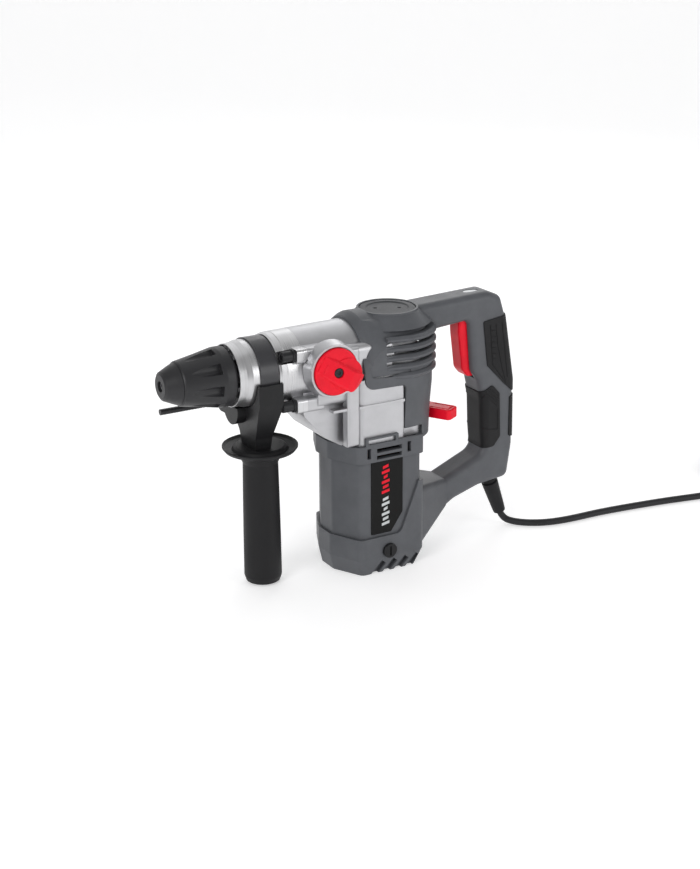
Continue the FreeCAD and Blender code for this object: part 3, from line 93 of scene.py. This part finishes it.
def mesh_object(name, vertices, faces, smooth=True):
    mesh = bpy.data.meshes.new(name)
    mesh.from_pydata([tuple(v) for v in vertices], [], faces)
    mesh.update()
    if smooth:
        mesh.polygons.foreach_set("use_smooth", [True] * len(mesh.polygons))
    return new_object(name, mesh)


def tidy_mesh(piece):
    """Make every face look outwards."""
    mesh = bmesh.new()
    mesh.from_mesh(piece.data)
    bmesh.ops.recalc_face_normals(mesh, faces=mesh.faces)
    mesh.to_mesh(piece.data)
    mesh.free()


def dress(obj, material):
    obj.data.materials.clear()
    obj.data.materials.append(material)


def add_detail(name, vertices, faces, body, slot, smooth=False):
    """A closed piece of the visual model that rides on a body and wears one of the record's materials."""
    piece = mesh_object(name, vertices, faces, smooth)
    tidy_mesh(piece)
    dress(piece, MATERIALS[slot])
    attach(piece, body)
    return piece


# ---------------------------------------------------------------- materials
SOFT_EDGE = 0.0006


class Graph:
    """A small helper for building a node material."""

    def __init__(self, name):
        self.material = bpy.data.materials.new(name)
        self.material.use_nodes = True
        self.tree = self.material.node_tree
        self.shader = self.tree.nodes["Principled BSDF"]
        self.place = self.tree.nodes.new("ShaderNodeTexCoord").outputs["Object"]

    def node(self, kind, **inputs):
        made = self.tree.nodes.new(kind)
        for key, value in inputs.items():
            self.feed(made.inputs[key.replace("_", " ")], value)
        return made

    def feed(self, socket, value):
        if isinstance(value, bpy.types.NodeSocket):
            self.tree.links.new(value, socket)
        else:
            socket.default_value = value

    def noise(self, scale, detail=4.0, rough=0.55, place=None, distortion=0.0):
        made = self.node("ShaderNodeTexNoise", Scale=scale, Detail=detail, Roughness=rough,
                         Distortion=distortion, Vector=place or self.place)
        return made.outputs["Fac"]

    def stretched(self, x=1.0, y=1.0, z=1.0):
        made = self.node("ShaderNodeMapping", Vector=self.place, Scale=(x, y, z))
        return made.outputs["Vector"]

    def remap(self, value, low, high, to_low, to_high):
        made = self.node("ShaderNodeMapRange", Value=value)
        for key, number in zip(("From Min", "From Max", "To Min", "To Max"), (low, high, to_low, to_high)):
            made.inputs[key].default_value = number
        return made.outputs["Result"]

    def mix(self, factor, one, two):
        made = self.tree.nodes.new("ShaderNodeMix")
        made.data_type = "RGBA"
        self.feed(made.inputs[0], factor)
        self.feed(made.inputs[6], one)
        self.feed(made.inputs[7], two)
        return made.outputs[2]

    def add(self, one, two):
        made = self.tree.nodes.new("ShaderNodeMath")
        made.operation = "ADD"
        self.feed(made.inputs[0], one)
        self.feed(made.inputs[1], two)
        return made.outputs[0]

    def bump(self, height, distance, strength, normal):
        made = self.node("ShaderNodeBump", Height=height, Distance=distance, Strength=strength)
        self.feed(made.inputs["Normal"], normal)
        return made.outputs["Normal"]

    def soft_edges(self, radius):
        made = self.tree.nodes.new("ShaderNodeBevel")
        made.samples = 6
        made.inputs["Radius"].default_value = radius
        return made.outputs["Normal"]

    def finish(self, **inputs):
        for key, value in inputs.items():
            self.feed(self.shader.inputs[key.replace("_", " ")], value)
        return self.material


def shade(color, factor):
    return tuple(min(1.0, part * factor) for part in color[:3]) + (1.0,)


def moulded(name, color, rough, grain=0.00006, grain_scale=2600.0, wear=1.35, shine=0.3):
    """Moulded plastic or rubber: spark-eroded grain, faint mottling and handled, lighter patches."""
    g = Graph(name)
    grain_fac = g.noise(grain_scale, 2.0, 0.6)
    mottle = g.noise(55.0, 5.0, 0.6)
    smudge = g.noise(14.0, 3.0, 0.5, distortion=0.6)
    tone = g.mix(g.remap(mottle, 0.35, 0.7, 0.0, 1.0), shade(color, 0.92), shade(color, 1.08))
    tone = g.mix(g.remap(grain_fac, 0.55, 0.75, 0.0, 0.25), tone, shade(color, wear))
    roughness = g.add(g.remap(smudge, 0.3, 0.7, rough - 0.05, rough + 0.05),
                      g.remap(grain_fac, 0.3, 0.7, -0.03, 0.03))
    normal = g.bump(grain_fac, grain, 0.7, g.soft_edges(SOFT_EDGE))
    return g.finish(Base_Color=tone, Roughness=roughness, Normal=normal, Specular_IOR_Level=shine)


def cast_metal(name, color, rough, grain=0.00012):
    """Bead-blasted die casting: pebbled skin, cloudy tone and faint flow marks."""
    g = Graph(name)
    pebble = g.noise(1500.0, 3.0, 0.65)
    cloud = g.noise(30.0, 6.0, 0.6)
    flow = g.noise(18.0, 4.0, 0.5, g.stretched(0.3, 1.0, 2.0), 1.2)
    tone = g.mix(g.remap(cloud, 0.3, 0.7, 0.0, 1.0), shade(color, 0.9), shade(color, 1.07))
    tone = g.mix(g.remap(flow, 0.55, 0.7, 0.0, 0.35), tone, shade(color, 0.82))
    roughness = g.add(g.remap(cloud, 0.3, 0.7, rough - 0.06, rough + 0.06),
                      g.remap(pebble, 0.3, 0.7, -0.05, 0.05))
    normal = g.bump(pebble, grain, 0.6, g.soft_edges(0.0007))
    return g.finish(Base_Color=tone, Metallic=1.0, Roughness=roughness, Normal=normal)


def turned_metal(name, color, rough, across="x", pitch=2400.0, depth=0.00002):
    """Lathe-turned metal: fine rings along the axis, slightly uneven."""
    g = Graph(name)
    scale = {"x": (pitch, 6.0, 6.0), "y": (6.0, pitch, 6.0), "z": (6.0, 6.0, pitch)}[across]
    rings = g.noise(1.0, 2.0, 0.5, g.stretched(*scale))
    cloud = g.noise(40.0, 4.0, 0.55)
    tone = g.mix(g.remap(rings, 0.35, 0.65, 0.0, 1.0), shade(color, 0.88), shade(color, 1.06))
    tone = g.mix(g.remap(cloud, 0.45, 0.75, 0.0, 0.3), tone, shade(color, 0.85))
    roughness = g.add(g.remap(rings, 0.3, 0.7, rough - 0.08, rough + 0.08),
                      g.remap(cloud, 0.3, 0.7, -0.03, 0.03))
    normal = g.bump(rings, depth, 0.5, g.soft_edges(0.0004))
    return g.finish(Base_Color=tone, Metallic=1.0, Roughness=roughness, Normal=normal)


GREY = (0.092, 0.096, 0.105)
MATERIALS = {
    "grey_shell": moulded("shell_grey", GREY, 0.46),
    "black_plastic": moulded("plastic_black", (0.011, 0.011, 0.012), 0.4, shine=0.24),
    "black_rubber": moulded("rubber_black", (0.0095, 0.0093, 0.0103), 0.55, 0.0001, 1900.0, shine=0.24),
    "cast_aluminium": cast_metal("aluminium_cast", (0.5, 0.5, 0.515), 0.42),
    "turned_aluminium": turned_metal("aluminium_turned", (0.6, 0.6, 0.61), 0.34, depth=0.000008),
    "red_plastic": moulded("plastic_red", (0.8, 0.003, 0.02), 0.36, 0.00004, 2600.0, wear=1.05, shine=0.22),
    "steel": turned_metal("steel_ground", (0.5, 0.5, 0.52), 0.28),
    "black_steel": moulded("steel_black", (0.016, 0.016, 0.018), 0.34, 0.00003, 2600.0),
    "band_steel": moulded("band_black", (0.035, 0.035, 0.039), 0.26, 0.00001, 2600.0, shine=0.45),
    "copper_winding": turned_metal("copper_varnished", (0.5, 0.18, 0.07), 0.35, "z"),
    "lamination": turned_metal("laminations", (0.2, 0.2, 0.21), 0.5, "z"),
    "carbon": moulded("carbon", (0.03, 0.03, 0.032), 0.6),
    "label": moulded("plate_black", (0.005, 0.005, 0.005), 0.4, 0.00001, 3000.0, shine=0.15),
    "lens": moulded("lens_milky", (0.55, 0.57, 0.58), 0.25, 0.00001, 3000.0),
    "seal_rubber": moulded("rubber_seal", (0.02, 0.02, 0.02), 0.5),
    "cord_rubber": moulded("rubber_cord", (0.016, 0.016, 0.018), 0.5, 0.00004, 3000.0),
    "brass": turned_metal("brass", (0.62, 0.43, 0.17), 0.3, "z"),
    "plug_pin": turned_metal("nickel", (0.7, 0.69, 0.66), 0.22),
}
SLOT_OF = {entry["node"]: entry["material_slot"] for entry in frame["record"]["subparts"]}


CHUCK_BLACK = moulded("chuck_black", (0.021, 0.021, 0.023), 0.42, 0.00008, 2000.0, shine=0.34)

for node_name, node_object in NODES.items():
    dress(node_object, MATERIALS[SLOT_OF[node_name]])
dress(NODES["grease_cap"], moulded("cap_grey", shade(GREY, 0.55), 0.5, shine=0.2))
dress(NODES["dust_cap"], CHUCK_BLACK)
dress(NODES["locking_sleeve"], CHUCK_BLACK)


# ---------------------------------------------------------------- supply cord
CORD_RADIUS = 0.0037
CORD_EXIT = (0.1682, 0, 0.0163)
COIL_CENTRE = Vector((0.516, -0.015, 0))
COIL_STEPS = 14
CORD_ROUTE = [CORD_EXIT, (0.1714, -0.0015, 0.0076), (0.179, -0.009, 0.0039), (0.192, -0.022, 0.00375),
              (0.212, -0.032, 0.00375), (0.240, -0.036, 0.00375), (0.276, -0.0365, 0.00375),
              (0.316, -0.041, 0.00375), (0.358, -0.047, 0.00375), (0.402, -0.056, 0.00375),
              (0.440, -0.0635, 0.00375), (0.474, -0.0664, 0.00375), (0.500, -0.0666, 0.00375)]
TAIL_ROUTE = [(0.541, -0.066, 0.0176), (0.559, -0.0662, 0.015), (0.5745, -0.0664, 0.0137)]
# radius and height of each turn of the coil
COIL_TURNS = [(0.0516, 0.0037), (0.0442, 0.0037), (0.0368, 0.0037), (0.0368, 0.0111), (0.0442, 0.0111),
              (0.0516, 0.0111), (0.0442, 0.0185), (0.0514, 0.0185)]


def coil_points():
    """Turns wound side by side and layer on layer, entered and left along +X at the coil's near side."""
    points = []
    for number, (radius, height) in enumerate(COIL_TURNS):
        next_radius, next_height = COIL_TURNS[min(number + 1, len(COIL_TURNS) - 1)]
        for step in range(COIL_STEPS):
            share = step / COIL_STEPS
            blend = max(0.0, (share - 0.7) / 0.3)
            r = radius + (next_radius - radius) * blend
            z = height + (next_height - height) * blend
            angle = -math.pi / 2 + 2 * math.pi * share
            points.append((COIL_CENTRE.x + r * math.cos(angle), COIL_CENTRE.y + r * math.sin(angle), z))
    last_r, last_z = COIL_TURNS[-1]
    points.append((COIL_CENTRE.x, COIL_CENTRE.y - last_r, last_z))
    return points


def make_cord():
    """The whole cord as one curve; the CAD model has it in three parts."""
    points = CORD_ROUTE + coil_points() + TAIL_ROUTE
    curve = bpy.data.curves.new("supply_cord", "CURVE")
    curve.dimensions = "3D"
    spline = curve.splines.new("NURBS")
    spline.points.add(len(points) - 1)
    for point, place in zip(spline.points, points):
        point.co = (*place, 1)
    spline.order_u = 3
    spline.use_endpoint_u = True
    spline.resolution_u = 8
    curve.bevel_depth = CORD_RADIUS
    curve.bevel_resolution = 5
    curve.use_fill_caps = True
    cord = new_object("supply_cord", curve)
    curve.materials.append(MATERIALS["cord_rubber"])
    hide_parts("cord", "cord_coil", "cord_tail")
    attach(cord, "housing")


make_cord()


# ---------------------------------------------------------------- surface detail
def prism(name, loops, near, far, body, slot):
    """Closed plates between two levels of Y; each loop is a convex outline in X and Z."""
    vertices, faces = [], []
    for loop in loops:
        start, count = len(vertices), len(loop)
        vertices += [(x, near, z) for x, z in loop] + [(x, far, z) for x, z in loop]
        faces.append([start + i for i in range(count)])
        faces.append([start + count + i for i in reversed(range(count))])
        for i in range(count):
            j = (i + 1) % count
            faces.append([start + j, start + i, start + count + i, start + count + j])
    add_detail(name, vertices, faces, body, slot)


BAR_LENGTHS = (0.009, 0.0065, 0.009, 0.0045, 0.009, 0.0065)
BAR_PITCH, BAR_HEIGHT, BAR_RISE, BAR_MIDDLE_X = 0.0053, 0.003, 0.0018, -0.0035
PLATE_FACE_Y, PRINT_FACE_Y = 0.0448, 0.04502


def make_label_marks():
    """Plain slanting bars printed on the two side plates."""
    for side, tag in SIDES:
        for slot, start in (("lens", 0.051), ("red_plastic", 0.0855)):
            loops = []
            for number, length in enumerate(BAR_LENGTHS):
                z = start + BAR_PITCH * number
                left, right = BAR_MIDDLE_X - length / 2, BAR_MIDDLE_X + length / 2
                loops.append([(left, z), (right, z + BAR_RISE), (right, z + BAR_RISE + BAR_HEIGHT),
                              (left, z + BAR_HEIGHT)])
            prism(f"label_bars_{slot.split('_')[0]}_{tag}", loops, side * PLATE_FACE_Y, side * PRINT_FACE_Y,
                  "housing", slot)


def surface_tree(node):
    """A search tree over the mesh of a node, in the object's frame."""
    vertices = [node.matrix_world @ v.co for v in node.data.vertices]
    return BVHTree.FromPolygons(vertices, [list(polygon.vertices) for polygon in node.data.polygons])


# lines on the soft pads, from one point to the other in X and Z
PAD_LINES = [((0.1345, 0.1585), (0.1495, 0.1445)), ((0.1352, 0.1618), (0.1503, 0.1475)),
             ((0.1378, 0.1632), (0.1510, 0.1506)), ((0.1406, 0.1642), (0.1514, 0.1537)),
             ((0.1225, 0.1556), (0.1325, 0.1540)), ((0.1325, 0.1540), (0.1345, 0.1585)),
             ((0.1499, 0.1400), (0.1508, 0.1185)), ((0.1225, 0.1222), (0.1508, 0.1178)),
             ((0.1385, 0.2335), (0.1425, 0.1905)), ((0.1425, 0.1905), (0.1600, 0.1680)),
             ((0.1455, 0.2335), (0.1485, 0.2104)), ((0.1485, 0.2104), (0.1543, 0.1859)),
             ((0.1543, 0.1859), (0.1600, 0.1680)), ((0.1530, 0.2350), (0.1618, 0.1740))]
PAD_LINES += [((0.1402 + 0.0005 * i, 0.2275 - 0.0062 * i), (0.1448 + 0.0005 * i, 0.2262 - 0.0062 * i))
              for i in range(6)]
RIB_HALF_WIDTH, RIB_RISE, RIB_ROOT, RIB_STEP = 0.0006, 0.0005, 0.0003, 0.0015


def rib_rows(tree, side, start, end):
    """Cross-sections of a raised line that follows the surface under it, seen along Y."""
    a, b = Vector((start[0], 0, start[1])), Vector((end[0], 0, end[1]))
    along = (b - a).normalized()
    across = Vector((-along.z, 0, along.x)) * RIB_HALF_WIDTH
    count = max(2, round((b - a).length / RIB_STEP))
    rows = []
    for step in range(count + 1):
        middle = a.lerp(b, step / count)
        row = []
        for shift, lift in ((-1.0, -RIB_ROOT), (-0.55, RIB_RISE), (0.55, RIB_RISE), (1.0, -RIB_ROOT)):
            place = middle + across * shift
            place.y = side * 0.06
            hit, normal, _, _ = tree.ray_cast(place, Vector((0, -side, 0)))
            if hit is not None:
                row.append(hit + normal * lift)
        if len(row) == 4:
            rows.append(row)
    return rows


def make_pad_ribs():
    """Raised lines on the soft pads of the handle, laid along the rounded skin."""
    bpy.context.view_layer.update()
    tree = surface_tree(NODES["grip_pads"])
    for side, tag in SIDES:
        vertices, faces = [], []
        for line_start, line_end in PAD_LINES:
            rows = rib_rows(tree, side, line_start, line_end)
            if len(rows) < 2:
                continue
            start = len(vertices)
            vertices += [point for row in rows for point in row]
            for row in range(len(rows) - 1):
                low = start + 4 * row
                for i in range(4):
                    j = (i + 1) % 4
                    faces.append([low + i, low + j, low + 4 + j, low + 4 + i])
            faces.append([start + i for i in range(4)])
            faces.append([start + 4 * (len(rows) - 1) + i for i in reversed(range(4))])
        add_detail(f"pad_ribs_{tag}", vertices, faces, "housing", "black_rubber")


# height and radius of the recessed panel of the side grip, from the top down
GRIP_X = -0.1205
GRIP_PANEL = [(0.118, 0.0170), (0.1, 0.0172), (0.055, 0.0178), (0.026, 0.0180)]
GRIP_BARS, GRIP_BAR_PITCH, GRIP_BAR_HEIGHT, GRIP_BAR_STEPS = 10, 0.0081, 0.0046, 8


def panel_radius(z):
    """Radius of the side grip's panel at a height."""
    for (high, r_high), (low, r_low) in zip(GRIP_PANEL, GRIP_PANEL[1:]):
        if low <= z <= high:
            return r_low + (r_high - r_low) * (z - low) / (high - low)
    return GRIP_PANEL[-1][1]


def make_grip_bars():
    """Raised bars along the recessed panel of the side grip."""
    vertices, faces = [], []
    for number in range(GRIP_BARS):
        z_low = 0.0325 + GRIP_BAR_PITCH * number
        start_angle, end_angle = (-89, -57) if number % 3 else (-84, -62)
        start = len(vertices)
        for step in range(GRIP_BAR_STEPS + 1):
            angle = math.radians(start_angle + (end_angle - start_angle) * step / GRIP_BAR_STEPS)
            for z in (z_low, z_low + GRIP_BAR_HEIGHT):
                for lift in (-0.0003, 0.0006):
                    r = panel_radius(z) + lift
                    vertices.append((GRIP_X + r * math.cos(angle), r * math.sin(angle), z))
        for step in range(GRIP_BAR_STEPS):
            a, b = start + 4 * step, start + 4 * (step + 1)
            for i, j in ((0, 1), (1, 3), (3, 2), (2, 0)):
                faces.append([a + i, a + j, b + j, b + i])
        end = start + 4 * GRIP_BAR_STEPS
        faces.append([start, start + 1, start + 3, start + 2])
        faces.append([end, end + 2, end + 3, end + 1])
    add_detail("grip_bars", vertices, faces, "grip", "black_rubber")


SCREW_PLACES = [(0.147, 0.0169, 0.237), (0.092, 0.0169, 0.2505), (0.1545, 0.0169, 0.082),
                (0.112, 0.0169, 0.068), (-0.022, 0.0465, 0.0305), (0.027, 0.0465, 0.0305)]
# radius and lift of each ring of a head; the last two rings are the socket
SCREW_RINGS = [(0.0034, 0.0), (0.0034, 0.0006), (0.0030, 0.0009), (0.0016, 0.0009), (0.0014, 0.0001)]
SCREW_SIDES = 24


def make_shell_screws():
    """Heads of the screws that hold the far shell, with a star socket in each."""
    for number, (x, level, z) in enumerate(SCREW_PLACES):
        vertices, faces = [], []
        for radius, lift in SCREW_RINGS:
            for step in range(SCREW_SIDES):
                angle = 2 * math.pi * step / SCREW_SIDES
                reach = radius if radius > 0.0017 else radius * (1 + 0.12 * (step % 4 == 0))
                vertices.append((x + reach * math.cos(angle), level + lift, z + reach * math.sin(angle)))
        for row in range(len(SCREW_RINGS) - 1):
            for step in range(SCREW_SIDES):
                a, b = row * SCREW_SIDES + step, row * SCREW_SIDES + (step + 1) % SCREW_SIDES
                faces.append([a, b, b + SCREW_SIDES, a + SCREW_SIDES])
        faces.append(list(range(SCREW_SIDES)))
        last = (len(SCREW_RINGS) - 1) * SCREW_SIDES
        faces.append(list(range(last, last + SCREW_SIDES)))
        add_detail(f"shell_screw_{number}", vertices, faces, "housing", "black_steel")


def make_sleeve_spring():
    """The coil spring behind the locking sleeve; on the real tool it shortens as the sleeve is pulled back,
    here it is built at one length.
    """
    front, rear, turns, radius, wire = -0.1999, -0.1606, 7, 0.0142, 0.001
    steps, sides = 24 * turns, 10
    vertices, faces = [], []
    for step in range(steps + 1):
        angle = 2 * math.pi * turns * step / steps
        x = front + wire + (rear - front - 2 * wire) * step / steps
        outwards = Vector((0, math.cos(angle), math.sin(angle)))
        for side in range(sides):
            turn = 2 * math.pi * side / sides
            point = outwards * (radius + wire * math.cos(turn))
            vertices.append((x + wire * math.sin(turn), point.y, point.z + HAMMER_AXIS_Z))
    for step in range(steps):
        for side in range(sides):
            a, b = step * sides + side, step * sides + (side + 1) % sides
            faces.append([a, b, b + sides, a + sides])
    faces.append(list(range(sides)))
    faces.append([steps * sides + side for side in reversed(range(sides))])
    spring = add_detail("sleeve_coil", vertices, faces, "spindle", "steel", smooth=True)
    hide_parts("sleeve_spring")
    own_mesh(spring)


make_sleeve_spring()
make_label_marks()
make_pad_ribs()
make_grip_bars()
make_shell_screws()


# ---------------------------------------------------------------- stage and light
STAGE_ACROSS, STAGE_AHEAD = Vector((0.8669, -0.4984, 0)), Vector((0.4984, 0.8669, 0))
SWEEP_START, SWEEP_RADIUS, SWEEP_STEPS = 2.2, 1.2, 12
STAGE_FRONT, STAGE_TOP, STAGE_HALF_WIDTH = -6.0, 6.0, 7.0


def make_stage():
    """A pale floor that sweeps up into a backdrop."""
    profile = [(STAGE_FRONT, 0.0)]
    for step in range(SWEEP_STEPS + 1):
        angle = math.radians(90 * step / SWEEP_STEPS)
        profile.append((SWEEP_START + math.sin(angle) * SWEEP_RADIUS, (1 - math.cos(angle)) * SWEEP_RADIUS))
    profile.append((SWEEP_START + SWEEP_RADIUS, STAGE_TOP))
    vertices, faces = [], []
    for along, height in profile:
        for side in (-STAGE_HALF_WIDTH, STAGE_HALF_WIDTH):
            vertices.append(STAGE_ACROSS * side + STAGE_AHEAD * along + Vector((0, 0, height)))
    for row in range(len(profile) - 1):
        faces.append((2 * row, 2 * row + 1, 2 * row + 3, 2 * row + 2))
    floor = mesh_object("floor", vertices, faces)
    g = Graph("paper")
    fibre = g.noise(90.0, 4.0, 0.5)
    tone = g.mix(fibre, (0.84, 0.84, 0.845, 1), (0.86, 0.86, 0.865, 1))
    paper = g.finish(Base_Color=tone, Roughness=0.9, Emission_Color=(1, 1, 1, 1), Emission_Strength=0.42)
    dress(floor, paper)


def area_light(name, place, aim, size, watts):
    data = bpy.data.lights.new(name, "AREA")
    data.energy = watts
    data.size = size
    light = bpy.data.objects.new(name, data)
    light.location = place
    light.rotation_euler = (Vector(aim) - Vector(place)).to_track_quat("-Z", "Y").to_euler()
    bpy.context.collection.objects.link(light)


def make_light():
    world = bpy.data.worlds.new("studio")
    world.use_nodes = True
    background = world.node_tree.nodes["Background"]
    background.inputs["Color"].default_value = (1, 1, 1, 1)
    background.inputs["Strength"].default_value = 0.4
    bpy.context.scene.world = world
    centre = (0, 0, 0.14)
    area_light("key", (-1.9, -1.1, 1.2), centre, 0.9, 20)
    area_light("top", (0.1, 0.3, 2.0), centre, 1.4, 3)
    area_light("fill", (1.3, -2.0, 0.7), centre, 1.0, 12)
    area_light("rim", (1.3, 1.5, 1.2), centre, 1.0, 5)
    view = bpy.context.scene.view_settings
    view.view_transform = "Standard"
    view.exposure = 0.0


make_stage()
make_light()
